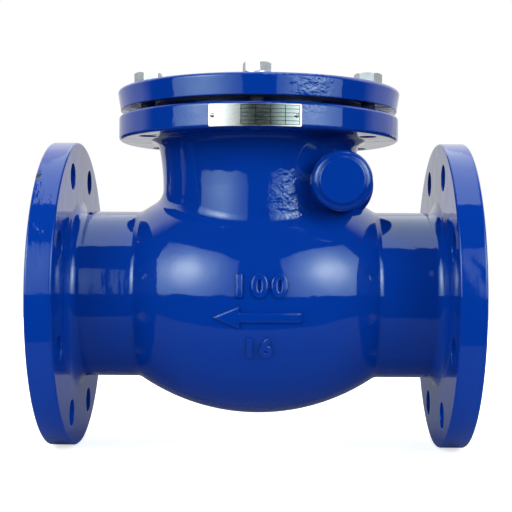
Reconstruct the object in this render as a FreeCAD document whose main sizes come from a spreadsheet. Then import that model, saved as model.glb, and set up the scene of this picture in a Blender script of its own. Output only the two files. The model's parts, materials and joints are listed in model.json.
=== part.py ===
import FreeCAD, Part
import math
import os
import re

import Sketcher

# Swing check valve with flanged ends, DN100 PN16, bolted cover.
# The pipe axis is X, the inlet's face stands at X = 0 and the flow runs towards -X. The cover is up.
# Everything is drawn about the valve's middle and placed half the length towards the outlet.

SIZES = (
    ("face_to_face", 300, "outer face of the inlet to outer face of the outlet"),
    ("bore_dia", 100, "pipe bore"),
    ("neck_wall", 10, "wall of the pipe necks"),
    ("flange_thick", 20, "pipe flange with its raised face"),
    ("flange_margin", 20, "bolt circle to the flange's rim"),
    ("flange_round", 1.5, "rounding of the flange rims"),
    ("flange_fillet", 8, "fillet behind the flanges"),
    ("raised_face_margin", 1.5, "raised sealing face to the bolt holes"),
    ("raised_face_rise", 2, "height of the raised face"),
    ("hole_circle_dia", 180, "bolt circle of the pipe flanges"),
    ("hole_dia", 19, "bolt holes of the pipe flanges"),
    ("hole_count", 8, "bolt holes in each pipe flange"),
    ("bowl_room", 18.5, "disc's edge to the bowl's wall"),
    ("bowl_wall", 10, "wall of the bowl"),
    ("bowl_shoulder", 15.4, "bonnet neck to the bowl's end along the pipe"),
    ("bowl_fillet", 6, "fillet between bowl and pipe neck"),
    ("bonnet_room", 6, "half the bonnet's bore less half the disc"),
    ("bonnet_wall", 5.8, "wall of the bonnet neck at its waist"),
    ("bonnet_flare", 4.2, "widening of the neck from its waist to its flange"),
    ("bonnet_waist", 76, "pipe axis to the neck's waist"),
    ("bonnet_top", 128, "pipe axis to the bonnet flange's rim top"),
    ("bonnet_flange_thick", 17, "bonnet flange without its raised face"),
    ("bonnet_flange_margin", 13.5, "bolt circle to the bonnet flange's rim"),
    ("bonnet_shoulder", 12, "fillet between bonnet neck and bowl"),
    ("bonnet_fillet", 7, "fillet under the bonnet flange"),
    ("bonnet_round", 2, "rounding of the bonnet flange"),
    ("joint_face_width", 14.5, "raised faces on both sides of the gasket"),
    ("joint_face_rise", 1.2, "height of each of them"),
    ("gasket_thick", 1.8, "cover gasket"),
    ("cover_overhang", 1.2, "cover's rim past the bonnet flange at its top"),
    ("cover_thick", 14.4, "cover rim"),
    ("cover_draft", 2.4, "how much smaller the cover's radius is at its foot"),
    ("cover_round", 2, "rounding of the cover's top edge"),
    ("spigot_depth", 5, "cover's locating spigot below the gasket"),
    ("spigot_gap", 0.4, "play of that spigot in the bonnet's bore"),
    ("cover_bolt_count", 6, "cover bolts"),
    ("cover_bolt_dia", 10, "cover bolt thread"),
    ("cover_bolt_margin", 5, "cover bolts to the raised faces"),
    ("cover_bolt_length", 35, "cover bolt under its head"),
    ("cover_bolt_flats", 17, "across the flats of the bolt head"),
    ("cover_bolt_head", 6.4, "height of the bolt head"),
    ("head_crown", 0.95, "flat circle on a hexagon's end, as a share of its flats"),
    ("cover_bolt_play", 0.5, "radial play of the bolts in the cover"),
    ("thread_gap", 0.05, "radial gap of any thread"),
    ("tap_countersink", 1.25, "countersink at the foot of the tapped holes"),
    ("washer_width", 4, "spring washer"),
    ("washer_thick", 1.6, "spring washer when tightened"),
    ("washer_split", 1.5, "gap in the spring washer"),
    ("seat_offset", 50, "valve's middle to the seat along the pipe axis"),
    ("seat_tilt", 8, "seat leans back by this angle, so that the disc rests on it"),
    ("ring_depth", 8, "seat ring inside its recess"),
    ("ring_proud", 2, "seat ring in front of its recess"),
    ("ring_land", 4, "sealing edge to the ring's outside"),
    ("ring_nose", 1, "height of the sealing edge on the ring"),
    ("ring_nose_width", 2.5, "width of the sealing edge"),
    ("ring_nose_inset", 1.5, "bore to the sealing edge"),
    ("seat_gap", 0.15, "facing to sealing edge when closed"),
    ("hub_room", 9.2, "disc's edge to the arm's hub"),
    ("hinge_setback", 4, "seat to the pin, with the flow"),
    ("open_angle", 55, "swing of the arm to its stop"),
    ("pin_dia", 12, "hinge pin"),
    ("pin_reach", 50, "half the pin's length"),
    ("pin_chamfer", 1, "chamfer of the pin's ends"),
    ("fit_gap", 0.05, "radial gap of the running fits"),
    ("end_gap", 0.3, "end play between moving pieces"),
    ("boss_dia", 40.8, "hinge boss outside"),
    ("boss_reach", 80, "valve's middle to the boss's end faces"),
    ("boss_round", 4.5, "rounding of the boss's front"),
    ("boss_back_round", 1.5, "rounding of the boss's back"),
    ("pad_inset", 4.6, "boss to the round pad on its front"),
    ("pad_rise", 2, "height of that pad"),
    ("pad_round", 1.2, "rounding of that pad"),
    ("housing_dia", 50, "hinge housing in the middle"),
    ("housing_reach", 26, "half the housing's length"),
    ("housing_taper", 10, "length of the taper from housing to boss"),
    ("pocket_room", 4, "round the hub inside the housing"),
    ("lug_wall", 6, "wall of the inner pin bosses"),
    ("bush_wall", 3, "wall of the pin bushes"),
    ("plug_step", 1, "plug's thread past the bush, all round"),
    ("plug_flats", 27, "across the flats of the plug's head"),
    ("plug_head", 9, "height of the plug's head"),
    ("seal_width", 4, "plug's sealing ring"),
    ("seal_thick", 1.5, "plug's sealing ring"),
    ("spacer_width", 4.7, "thrust rings on the pin, along it"),
    ("hub_wall", 6, "wall of the arm's hub"),
    ("hub_width", 38, "arm's hub along the pin"),
    ("arm_width", 18, "arm across"),
    ("arm_top", 5, "pin axis to the arm's top"),
    ("arm_back", 11, "pin axis to the arm's back at its top"),
    ("arm_front", 4, "pin axis to the arm's front under the hub"),
    ("arm_knee_inset", 1, "disc's edge to the arm's knee"),
    ("arm_knee_round", 7.5, "rounding of the arm's knee"),
    ("arm_bend", 78, "radius of the arm's curved back"),
    ("eye_wall", 8.5, "wall of the arm's eye round its bush"),
    ("eye_thick", 16, "arm's eye along the stud"),
    ("stop_width", 12, "stop finger across"),
    ("stop_length", 24, "pin axis to the finger's end"),
    ("stop_thick", 10, "stop finger front to back"),
    ("arm_bush_wall", 2.5, "wall of the bush in the arm's eye"),
    ("disc_rim", 2.5, "disc's edge round the facing"),
    ("disc_web", 8, "disc behind the facing"),
    ("disc_rim_back", 5, "how far the disc's rim stands in front of its back"),
    ("disc_bevel", 12.5, "width of the sloped rim of the disc's back"),
    ("disc_shoulder_dia", 30, "shoulder round the stud"),
    ("disc_shoulder", 2.85, "height of that shoulder"),
    ("stud_dia", 16, "disc's stud"),
    ("facing_overlap", 1, "facing past the sealing edge"),
    ("facing_width", 17, "rubber facing from its hole to its edge"),
    ("facing_thick", 5, "rubber facing"),
    ("facing_proud", 0.8, "facing in front of the disc's rim"),
    ("facing_gap", 0.1, "facing to the disc's rim"),
    ("retainer_clamp", 6, "how far the clamping plate covers the facing"),
    ("retainer_thick", 4, "that plate in front of the facing"),
    ("retainer_edge", 1, "chamfer of that plate"),
    ("screw_circle", 50, "circle of the retainer screws"),
    ("screw_count", 4, "retainer screws"),
    ("screw_dia", 6, "retainer screws"),
    ("screw_head_dia", 12, "countersunk heads"),
    ("screw_depth", 6, "screws into the disc"),
    ("screw_socket_flats", 4, "socket in the heads"),
    ("screw_socket_depth", 2.5, "depth of the sockets"),
    ("stud_washer_dia", 30, "washer behind the eye"),
    ("stud_washer_thick", 3, "washer behind the eye"),
    ("nut_flats", 24, "castle nut"),
    ("nut_height", 13, "hexagon of the castle nut"),
    ("crown_height", 6, "crown of the castle nut"),
    ("crown_inset", 1, "hexagon's flats to the crown"),
    ("slot_gap", 0.25, "split pin to the sides of its slot"),
    ("crown_slot_count", 6, "slots in the crown"),
    ("stud_end", 1, "stud past the nut"),
    ("split_pin_dia", 4, "split pin"),
    ("split_pin_leg", 8, "length of the split pin's bent legs"),
    ("split_pin_eye", 3, "radius of the split pin's eye"),
    ("plate_angle", 34.4, "nameplate round the bonnet flange"),
    ("plate_turn", 0.5, "nameplate's middle from the front, towards the outlet"),
    ("plate_margin", 0.7, "foot of the bonnet flange to the nameplate"),
    ("plate_height", 14.5, "nameplate"),
    ("plate_thick", 0.6, "nameplate"),
    ("plate_corner", 1, "nameplate's corners"),
    ("rivet_inset", 1.75, "angle from the nameplate's end to its rivet"),
    ("rivet_turn", 0.75, "middle between the rivets from the front, towards the outlet"),
    ("rivet_dia", 2.2, "rivet shank"),
    ("rivet_head_dia", 3.4, "rivet head"),
    ("rivet_head", 1.1, "height of the rivet head"),
    ("rivet_depth", 6, "rivet in the casting"),
)

# Sizes that follow from those above or from each other. Levels are heights over the pipe axis, and
# what ends in front or back is a depth behind the seat, along the disc's axis.
WORKED_OUT = (
    ("half_length", "face_to_face / 2"),
    ("neck_dia", "bore_dia + 2 * neck_wall"),
    ("flange_dia", "hole_circle_dia + 2 * flange_margin"),
    ("raised_face_dia", "hole_circle_dia - hole_dia - 2 * raised_face_margin"),
    ("nose_inner", "bore_dia / 2 + ring_nose_inset"),
    ("nose_outer", "nose_inner + ring_nose_width"),
    ("ring_dia", "2 * (nose_outer + ring_land)"),
    ("facing_dia", "2 * (nose_outer + facing_overlap)"),
    ("facing_bore", "facing_dia - 2 * facing_width"),
    ("retainer_dia", "facing_bore + 2 * retainer_clamp"),
    ("disc_dia", "facing_dia + 2 * disc_rim"),
    ("disc_dish_dia", "disc_dia - 2 * disc_bevel"),
    ("bonnet_bore_dia", "disc_dia + 2 * bonnet_room"),
    ("bonnet_dia", "bonnet_bore_dia + 2 * bonnet_wall"),
    ("bonnet_top_dia", "bonnet_dia + 2 * bonnet_flare"),
    ("bowl_dia", "disc_dia + 2 * bowl_room + 2 * bowl_wall"),
    ("bowl_end", "bonnet_dia / 2 + bowl_shoulder"),
    ("bowl_rise", "(bowl_dia - neck_dia) / 2"),
    ("bowl_arc", "(bowl_end ^ 2 + bowl_rise ^ 2) / 2 / bowl_rise"),
    ("bowl_centre", "bowl_arc - bowl_dia / 2"),
    ("inner_arc", "bowl_arc - bowl_wall"),
    ("bore_end", "sqrt(inner_arc ^ 2 - (bowl_centre + bore_dia / 2) ^ 2)"),
    ("flange_foot", "bonnet_top - bonnet_flange_thick"),
    ("waist_rise", "flange_foot - bonnet_waist"),
    ("waist_arc", "(bonnet_flare ^ 2 + waist_rise ^ 2) / 2 / bonnet_flare"),
    ("joint_face_dia", "bonnet_bore_dia + 2 * joint_face_width"),
    ("cover_bolt_circle", "joint_face_dia + cover_bolt_dia + 2 * cover_bolt_margin"),
    ("bonnet_flange_dia", "cover_bolt_circle + 2 * bonnet_flange_margin"),
    ("cover_dia", "bonnet_flange_dia + 2 * cover_overhang"),
    ("gasket_foot", "bonnet_top + joint_face_rise"),
    ("gasket_top", "gasket_foot + gasket_thick"),
    ("cover_foot", "gasket_top + joint_face_rise"),
    ("cover_top", "cover_foot + cover_thick"),
    ("head_foot", "cover_top + washer_thick"),
    ("washer_bore", "cover_bolt_dia / 2 + thread_gap"),
    ("plate_foot", "flange_foot + plate_margin"),
    ("rivet_level", "plate_foot + plate_height / 2"),
    ("rivet_angle", "plate_angle - 2 * rivet_inset"),
    ("bush_dia", "pin_dia + 2 * bush_wall"),
    ("hub_dia", "pin_dia + 2 * hub_wall"),
    ("lug_dia", "bush_dia + 2 * lug_wall"),
    ("lug_gap", "hub_width + 2 * end_gap + 2 * spacer_width"),
    ("pocket_dia", "hub_dia + 2 * pocket_room"),
    ("plug_dia", "bush_dia + 2 * plug_step"),
    ("seal_dia", "plug_dia + 2 * seal_width"),
    ("pad_dia", "boss_dia - 2 * pad_inset"),
    ("hinge_rise", "disc_dia / 2 + hub_dia / 2 + hub_room"),
    ("hinge_x", "seat_offset + hinge_rise * sin(seat_tilt * 1 deg) - hinge_setback * cos(seat_tilt * 1 deg)"),
    ("hinge_z", "hinge_rise * cos(seat_tilt * 1 deg) + hinge_setback * sin(seat_tilt * 1 deg)"),
    ("facing_front", "ring_proud + ring_nose + seat_gap"),
    ("facing_back", "facing_front + facing_thick"),
    ("disc_back", "facing_back + disc_web"),
    ("shoulder_back", "disc_back + disc_shoulder"),
    ("eye_front", "shoulder_back + end_gap"),
    ("eye_back", "eye_front + eye_thick"),
    ("washer_front", "eye_back + end_gap"),
    ("nut_front", "washer_front + stud_washer_thick"),
    ("crown_front", "nut_front + nut_height"),
    ("nut_back", "crown_front + crown_height"),
    ("stud_back", "nut_back + stud_end"),
    ("split_pin_depth", "crown_front + crown_height / 2"),
    ("arm_bush_dia", "stud_dia + 2 * arm_bush_wall"),
    ("eye_dia", "arm_bush_dia + 2 * eye_wall"),
    ("crown_dia", "nut_flats - 2 * crown_inset"),
    ("crown_slot", "split_pin_dia + 2 * slot_gap"),
    ("plate_rise", "retainer_thick - facing_front"),
    ("cone_foot", "plate_rise - (screw_head_dia - screw_dia) / 2"),
)

NAMES = re.compile(r"[a-z]+(?:_[a-z]+)+")
FORMULAS = {name: name for name, size, note in SIZES}
UP = FreeCAD.Vector(0, 0, 1)
SLANT = FreeCAD.Vector(0, 1, 0)
ZERO = 1e-7
NEAR = 1e-3
# Where tightening left the bolt heads, in degrees, from the front one round towards the inlet.
BOLT_TURNS = (43, 50, 5, 33, 24, 18)
# How far the split pin's legs are bent, in degrees.
SPREAD = 55

doc = FreeCAD.newDocument("SwingCheckValve")
sheet = doc.addObject("Spreadsheet::Sheet", "Sizes")


def fill_sheet():
    for row, (name, size, note) in enumerate(SIZES, 1):
        sheet.set("A%d" % row, name)
        sheet.set("B%d" % row, str(size))
        sheet.set("C%d" % row, note)
        sheet.setAlias("B%d" % row, name)
    doc.recompute()


def spelled_out(formula):
    """The formula in the sheet's own sizes alone."""
    return NAMES.sub(lambda found: FORMULAS[found.group()], formula)


def work_out_sizes():
    for name, formula in WORKED_OUT:
        FORMULAS[name] = "(%s)" % spelled_out(formula)


def sized(formula):
    """The formula with each size's name pointed at the sheet."""
    return NAMES.sub(r"Sizes.\g<0>", spelled_out(formula))


def number(formula):
    """What the formula gives now."""
    result = sheet.evalExpression(spelled_out(formula))
    return float(getattr(result, "Value", result))


def point(x, y):
    return FreeCAD.Vector(number(x), number(y), 0)


def new_body(label):
    body = doc.addObject("PartDesign::Body", label)
    body.Label = label
    return body


def place(piece, x="0", y="0", z="0", tilt=None):
    """Put a piece at x, y, z from the valve's middle, leaning by tilt about Y."""
    start = FreeCAD.Vector(number("%s - half_length" % x), number(y), number(z))
    turn = FreeCAD.Rotation(SLANT, number(tilt) if tilt else 0)
    piece.Placement = FreeCAD.Placement(start, turn)
    piece.setExpression("Placement.Base.x", sized("%s - half_length" % x))
    piece.setExpression("Placement.Base.y", sized(y))
    piece.setExpression("Placement.Base.z", sized(z))
    if tilt:
        piece.setExpression("Placement.Rotation.Angle", sized("%s * 1 deg" % tilt))


def place_on_seat(piece):
    """Local X runs along the disc's axis against the flow, local Z up along the seat."""
    place(piece, x="seat_offset", tilt="seat_tilt")


def place_on_pin(piece):
    place(piece, x="hinge_x", z="hinge_z")


def new_sketch(body, name, role, x="0", y="0", lift="0", turn=None):
    """A sketch on one of the body's planes, shifted in it by x and y, lifted off it and turned."""
    sketch = body.newObject("Sketcher::SketchObject", name)
    plane = [item for item in body.Origin.OriginFeatures if item.Role == role][0]
    sketch.AttachmentSupport = [(plane, "")]
    sketch.MapMode = "FlatFace"
    start = FreeCAD.Vector(number(x), number(y), number(lift))
    angle = number(turn) if turn else 0
    sketch.AttachmentOffset = FreeCAD.Placement(start, FreeCAD.Rotation(UP, angle))
    sketch.setExpression("AttachmentOffset.Base.x", sized(x))
    sketch.setExpression("AttachmentOffset.Base.y", sized(y))
    sketch.setExpression("AttachmentOffset.Base.z", sized(lift))
    if turn:
        sketch.setExpression("AttachmentOffset.Rotation.Angle", sized("(%s) * 1 deg" % turn))
    return sketch


def constrain(sketch, rule, formula):
    index = sketch.addConstraint(rule)
    sketch.setExpression("Constraints[%d]" % index, sized(formula))


def hold_point(sketch, side, end, x, y):
    """Hold one end of a side at x, y from the sketch's origin."""
    for kind, formula, axis in (("DistanceX", x, -2), ("DistanceY", y, -1)):
        size = number(formula)
        if abs(size) < ZERO:
            sketch.addConstraint(Sketcher.Constraint("PointOnObject", side, end, axis))
        else:
            constrain(sketch, Sketcher.Constraint(kind, -1, 1, side, end, size), formula)


def arc_between(start, end, radius):
    """The short arc from start to end, turning left where the radius is positive."""
    chord = end - start
    left = FreeCAD.Vector(-chord.y, chord.x, 0).normalize()
    rise = math.sqrt(radius * radius - chord.Length ** 2 / 4)
    middle = (start + end) / 2 + left * math.copysign(rise, radius)
    first, last = (start, end) if radius > 0 else (end, start)
    angles = [math.atan2(spot.y - middle.y, spot.x - middle.x) for spot in (first, last)]
    return Part.ArcOfCircle(Part.Circle(middle, UP, abs(radius)), angles[0], angles[1])


def draw_outline(sketch, corners, arcs=None):
    """A closed outline. arcs gives the radius formula and turn of the sides that are round."""
    arcs = arcs or {}
    spots = [point(x, y) for x, y in corners]
    first = sketch.GeometryCount
    ends = []
    for index, start in enumerate(spots):
        end = spots[(index + 1) % len(spots)]
        if index in arcs:
            formula, turn = arcs[index]
            side = sketch.addGeometry(arc_between(start, end, turn * number(formula)), False)
            constrain(sketch, Sketcher.Constraint("Radius", side, number(formula)), formula)
            ends.append((1, 2) if turn > 0 else (2, 1))
        else:
            sketch.addGeometry(Part.LineSegment(start, end), False)
            ends.append((1, 2))
    for index, (x, y) in enumerate(corners):
        after = (index + 1) % len(corners)
        joined = (first + index, ends[index][1], first + after, ends[after][0])
        sketch.addConstraint(Sketcher.Constraint("Coincident", *joined))
        hold_point(sketch, first + index, ends[index][0], x, y)


def draw_box(sketch, left, bottom, right, top):
    draw_outline(sketch, [(left, bottom), (right, bottom), (right, top), (left, top)])


def draw_circle(sketch, radius, x="0", y="0"):
    circle = sketch.addGeometry(Part.Circle(point(x, y), UP, number(radius)), False)
    constrain(sketch, Sketcher.Constraint("Radius", circle, number(radius)), radius)
    if number(x) == 0 and number(y) == 0:
        sketch.addConstraint(Sketcher.Constraint("Coincident", circle, 3, -1, 1))
    else:
        hold_point(sketch, circle, 3, x, y)


def draw_hexagon(sketch, flats, on_side=False):
    """A hexagon round the sketch's origin, with a corner or a side on its X axis."""
    flat, corner = "((%s) / 2)" % flats, "((%s) / 2 / cos(30 deg))" % flats
    corners = [(corner, "0"), (corner + " / 2", flat), ("-%s / 2" % corner, flat),
               ("-" + corner, "0"), ("-%s / 2" % corner, "-" + flat), (corner + " / 2", "-" + flat)]
    if on_side:
        corners = [(y, x) for x, y in corners]
    draw_outline(sketch, corners)


def pad(sketch, length, middle=False, reverse=False):
    body = sketch.getParentGeoFeatureGroup()
    feature = body.newObject("PartDesign::Pad", sketch.Name + "_pad")
    feature.Profile = sketch
    feature.setExpression("Length", sized(length))
    feature.Midplane = middle
    feature.Reversed = reverse
    sketch.Visibility = False
    doc.recompute()
    return feature


def pocket(sketch, length, middle=False, reverse=False):
    body = sketch.getParentGeoFeatureGroup()
    before = body.Tip.Shape.Volume
    feature = body.newObject("PartDesign::Pocket", sketch.Name + "_pocket")
    feature.Profile = sketch
    feature.setExpression("Length", sized(length))
    feature.Midplane = middle
    feature.Reversed = reverse
    sketch.Visibility = False
    doc.recompute()
    need(feature.Shape.Volume < before - ZERO, "%s cuts nothing" % feature.Name)
    return feature


def turn_solid(sketch, axis):
    """Turn a sketch round its own H_Axis or V_Axis into a solid."""
    body = sketch.getParentGeoFeatureGroup()
    feature = body.newObject("PartDesign::Revolution", sketch.Name + "_turned")
    feature.Profile = sketch
    feature.ReferenceAxis = (sketch, [axis])
    feature.Angle = 360
    sketch.Visibility = False
    doc.recompute()
    return feature


def turn_groove(sketch, axis):
    body = sketch.getParentGeoFeatureGroup()
    before = body.Tip.Shape.Volume
    feature = body.newObject("PartDesign::Groove", sketch.Name + "_groove")
    feature.Profile = sketch
    feature.ReferenceAxis = (sketch, [axis])
    feature.Angle = 360
    sketch.Visibility = False
    doc.recompute()
    need(feature.Shape.Volume < before - ZERO, "%s cuts nothing" % feature.Name)
    return feature


def repeat_round(features, role, count, angle=None):
    """Repeat features round one of the body's axes, over a full turn or over angle."""
    body = features[0].getParentGeoFeatureGroup()
    pattern = body.newObject("PartDesign::PolarPattern", features[0].Name + "_round")
    axis = [item for item in body.Origin.OriginFeatures if item.Role == role][0]
    pattern.Originals = features
    pattern.Axis = (axis, [""])
    pattern.Angle = number(angle) if angle else 360
    if angle:
        pattern.setExpression("Angle", sized("(%s) * 1 deg" % angle))
    pattern.Occurrences = int(number(count))
    pattern.setExpression("Occurrences", sized(count))
    body.Tip = pattern
    doc.recompute()
    return pattern


def fillet(body, name, radius, pick):
    """A fillet on the edges of the body's tip that pick chooses."""
    tip = body.Tip
    edges = ["Edge%d" % index for index, edge in enumerate(tip.Shape.Edges, 1) if pick(edge)]
    need(edges, "%s finds no edge" % name)
    feature = body.newObject("PartDesign::Fillet", name)
    feature.Base = (tip, edges)
    feature.setExpression("Radius", sized(radius))
    doc.recompute()
    need(feature.isValid(), "%s fails on %s" % (name, edges))
    return feature


def is_ring(edge, radius, along=None, level="0"):
    """Whether the edge is on a circle of that radius, and centred at level along x, y or z."""
    curve = edge.Curve
    if not isinstance(curve, Part.Circle) or abs(curve.Radius - number(radius)) > NEAR:
        return False
    return along is None or abs(getattr(curve.Center, along) - number(level)) < NEAR


def need(truth, message):
    if not truth:
        raise RuntimeError(message)


def casting_outside():
    """The casting without its hollow: pipe run, bonnet neck with flange, and hinge housing."""
    body = new_body("valve_body")
    place(body)
    run = new_sketch(body, "run", "XZ_Plane")
    right = [("bowl_end", "neck_dia / 2"), ("half_length - flange_thick", "neck_dia / 2"),
             ("half_length - flange_thick", "flange_dia / 2"),
             ("half_length - raised_face_rise", "flange_dia / 2"),
             ("half_length - raised_face_rise", "raised_face_dia / 2"),
             ("half_length", "raised_face_dia / 2"), ("half_length", "0")]
    left = [("-(%s)" % x, y) for x, y in reversed(right)]
    draw_outline(run, left + right, {len(left) - 1: ("bowl_arc", -1)})
    turn_solid(run, "H_Axis")
    fillet(body, "bowl_fillets", "bowl_fillet",
           lambda edge: any(is_ring(edge, "neck_dia / 2", "x", side + "bowl_end") for side in ("", "-")))
    fillet(body, "flange_fillets", "flange_fillet",
           lambda edge: any(is_ring(edge, "neck_dia / 2", "x", side + "(half_length - flange_thick)")
                            for side in ("", "-")))
    fillet(body, "flange_rounds", "flange_round", lambda edge: is_ring(edge, "flange_dia / 2"))
    bonnet = new_sketch(body, "bonnet", "XZ_Plane")
    draw_outline(bonnet, [("0", "0"), ("bonnet_dia / 2", "0"), ("bonnet_dia / 2", "bonnet_waist"),
                          ("bonnet_top_dia / 2", "flange_foot"), ("bonnet_flange_dia / 2", "flange_foot"),
                          ("bonnet_flange_dia / 2", "bonnet_top"), ("joint_face_dia / 2", "bonnet_top"),
                          ("joint_face_dia / 2", "gasket_foot"), ("0", "gasket_foot")],
                 {2: ("waist_arc", -1)})
    turn_solid(bonnet, "V_Axis")
    fillet(body, "bonnet_shoulder", "min(bonnet_shoulder; bowl_shoulder)", is_shoulder)
    fillet(body, "bonnet_fillet", "bonnet_fillet",
           lambda edge: is_ring(edge, "bonnet_top_dia / 2", "z", "flange_foot"))
    fillet(body, "bonnet_rounds", "bonnet_round",
           lambda edge: any(is_ring(edge, "bonnet_flange_dia / 2", "z", level)
                            for level in ("flange_foot", "bonnet_top")))
    return body


def is_shoulder(edge):
    """Whether the edge is where the bonnet neck leaves the bowl, which is no level circle."""
    if isinstance(edge.Curve, (Part.Line, Part.Circle)):
        return False
    span = edge.LastParameter - edge.FirstParameter
    spots = [edge.valueAt(edge.FirstParameter + span * share) for share in (0.1, 0.5, 0.9)]
    reach = number("bonnet_dia / 2")
    return all(spot.z > 0 and abs(math.hypot(spot.x, spot.y) - reach) < NEAR for spot in spots)


def add_housing(body):
    """The hinge housing across the bonnet neck, with the pin's bosses on both ends."""
    housing = new_sketch(body, "housing", "XY_Plane", x="hinge_x", lift="hinge_z")
    shoulder = "(housing_reach + housing_taper)"
    draw_outline(housing, [
        ("0", "-(boss_reach + pad_rise)"), ("pad_dia / 2", "-(boss_reach + pad_rise)"),
        ("pad_dia / 2", "-boss_reach"), ("boss_dia / 2", "-boss_reach"),
        ("boss_dia / 2", "-" + shoulder), ("housing_dia / 2", "-housing_reach"),
        ("housing_dia / 2", "housing_reach"), ("boss_dia / 2", shoulder),
        ("boss_dia / 2", "boss_reach"), ("0", "boss_reach")])
    turn_solid(housing, "V_Axis")
    fillet(body, "boss_round", "boss_round",
           lambda edge: is_ring(edge, "boss_dia / 2", "y", "-boss_reach"))
    fillet(body, "pad_round", "pad_round",
           lambda edge: is_ring(edge, "pad_dia / 2", "y", "-(boss_reach + pad_rise)"))
    fillet(body, "boss_back_round", "boss_back_round",
           lambda edge: is_ring(edge, "boss_dia / 2", "y", "boss_reach"))


def flow_space():
    """The casting's hollow, in the casting's own frame: bowl and outlet, bonnet, hinge pocket, inlet.

    The bridge that carries the seat ring stays, up to the height of the pin.
    """
    body = new_body("flow_space")
    bowl = new_sketch(body, "bowl_space", "XZ_Plane")
    draw_outline(bowl, [("-half_length", "0"), ("-half_length", "bore_dia / 2"),
                        ("-bore_end", "bore_dia / 2"), ("bore_end", "bore_dia / 2"),
                        ("bore_end", "0")], {2: ("inner_arc", -1)})
    turn_solid(bowl, "H_Axis")
    bonnet = new_sketch(body, "bonnet_space", "XZ_Plane")
    draw_box(bonnet, "0", "0", "bonnet_bore_dia / 2", "bonnet_top + joint_face_rise")
    turn_solid(bonnet, "V_Axis")
    bridge = new_sketch(body, "seat_bridge", "XZ_Plane", x="seat_offset", turn="-seat_tilt")
    draw_box(bridge, "0", "-bowl_dia", "bowl_dia", "hinge_rise")
    pocket(bridge, "2 * bowl_dia", middle=True)
    hub = new_sketch(body, "hub_space", "XY_Plane", x="hinge_x", lift="hinge_z")
    draw_box(hub, "0", "-lug_gap / 2", "pocket_dia / 2", "lug_gap / 2")
    turn_solid(hub, "V_Axis")
    inlet = new_sketch(body, "inlet_space", "XZ_Plane")
    draw_box(inlet, "seat_offset - ring_depth", "0", "half_length", "bore_dia / 2")
    turn_solid(inlet, "H_Axis")
    return body


def hollow_out(body):
    cut = body.newObject("PartDesign::Boolean", "hollow")
    cut.Type = "Cut"
    cut.setObjects([flow_space()])
    doc.recompute()
    body.Tip = cut


def machine_hinge(body):
    """Inner pin bosses, bush bores, plug bore and the recess of the seat ring."""
    lugs = new_sketch(body, "pin_lugs", "XY_Plane", x="hinge_x", lift="hinge_z")
    draw_box(lugs, "0", "lug_gap / 2", "lug_dia / 2", "pin_reach")
    draw_box(lugs, "0", "-pin_reach", "lug_dia / 2", "-lug_gap / 2")
    turn_solid(lugs, "V_Axis")
    bores = new_sketch(body, "pin_bores", "XY_Plane", x="hinge_x", lift="hinge_z")
    draw_outline(bores, [("0", "-(pin_reach + end_gap)"), ("bush_dia / 2", "-(pin_reach + end_gap)"),
                         ("bush_dia / 2", "pin_reach"), ("plug_dia / 2", "pin_reach"),
                         ("plug_dia / 2", "boss_reach"), ("0", "boss_reach")])
    turn_groove(bores, "V_Axis")
    recess = new_sketch(body, "ring_recess", "XZ_Plane", x="seat_offset", turn="-seat_tilt")
    draw_box(recess, "0", "0", "ring_depth", "ring_dia / 2")
    turn_groove(recess, "H_Axis")


def drill_casting(body):
    """Flange holes, tapped cover holes and the rivets' holes."""
    holes = []
    for name, lift, reverse in (("inlet_hole", "half_length", False),
                                ("outlet_hole", "-half_length", True)):
        hole = new_sketch(body, name, "YZ_Plane", lift=lift)
        draw_circle(hole, "hole_dia / 2", "hole_circle_dia / 2 * sin(180 deg / hole_count)",
                    "hole_circle_dia / 2 * cos(180 deg / hole_count)")
        holes.append(pocket(hole, "flange_thick", reverse=reverse))
        repeat_round([holes[-1]], "X_Axis", "hole_count")
    tap = new_sketch(body, "tapped_hole", "YZ_Plane", x="-cover_bolt_circle / 2")
    wide = "cover_bolt_dia / 2 + tap_countersink"
    draw_outline(tap, [("0", "flange_foot"), (wide, "flange_foot"),
                       ("cover_bolt_dia / 2", "flange_foot + tap_countersink"),
                       ("cover_bolt_dia / 2", "bonnet_top"), ("0", "bonnet_top")])
    repeat_round([turn_groove(tap, "V_Axis")], "Z_Axis", "cover_bolt_count")
    pilot = rivet_sketch(body, "rivet_hole")
    draw_box(pilot, "bonnet_flange_dia / 2 - rivet_depth", "0", "bonnet_flange_dia / 2", "rivet_dia / 2")
    repeat_round([turn_groove(pilot, "H_Axis")], "Z_Axis", "2", "rivet_angle")


def rivet_sketch(body, name):
    """A sketch whose X axis is the first rivet's, out of the bonnet flange's front."""
    return new_sketch(body, name, "XY_Plane", lift="rivet_level",
                      turn="-90 - rivet_turn - rivet_angle / 2")


def make_casting():
    body = casting_outside()
    add_housing(body)
    hollow_out(body)
    machine_hinge(body)
    drill_casting(body)


def make_cover():
    body = new_body("cover")
    place(body)
    outline = new_sketch(body, "cover_outline", "XZ_Plane")
    spigot = "bonnet_bore_dia / 2 - spigot_gap"
    foot = "gasket_top - spigot_depth"
    draw_outline(outline, [
        ("0", foot), (spigot + " - spigot_gap", foot), (spigot, foot + " + 2 * spigot_gap"),
        (spigot, "gasket_top"),
        ("joint_face_dia / 2", "gasket_top"), ("joint_face_dia / 2", "cover_foot"),
        ("cover_dia / 2 - cover_draft", "cover_foot"), ("cover_dia / 2", "cover_top"), ("0", "cover_top")])
    turn_solid(outline, "V_Axis")
    fillet(body, "cover_round", "cover_round", lambda edge: is_ring(edge, "cover_dia / 2", "z", "cover_top"))
    hole = new_sketch(body, "cover_hole", "XY_Plane", lift="cover_top")
    draw_circle(hole, "cover_bolt_dia / 2 + cover_bolt_play", "0", "-cover_bolt_circle / 2")
    repeat_round([pocket(hole, "cover_thick")], "Z_Axis", "cover_bolt_count")


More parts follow.
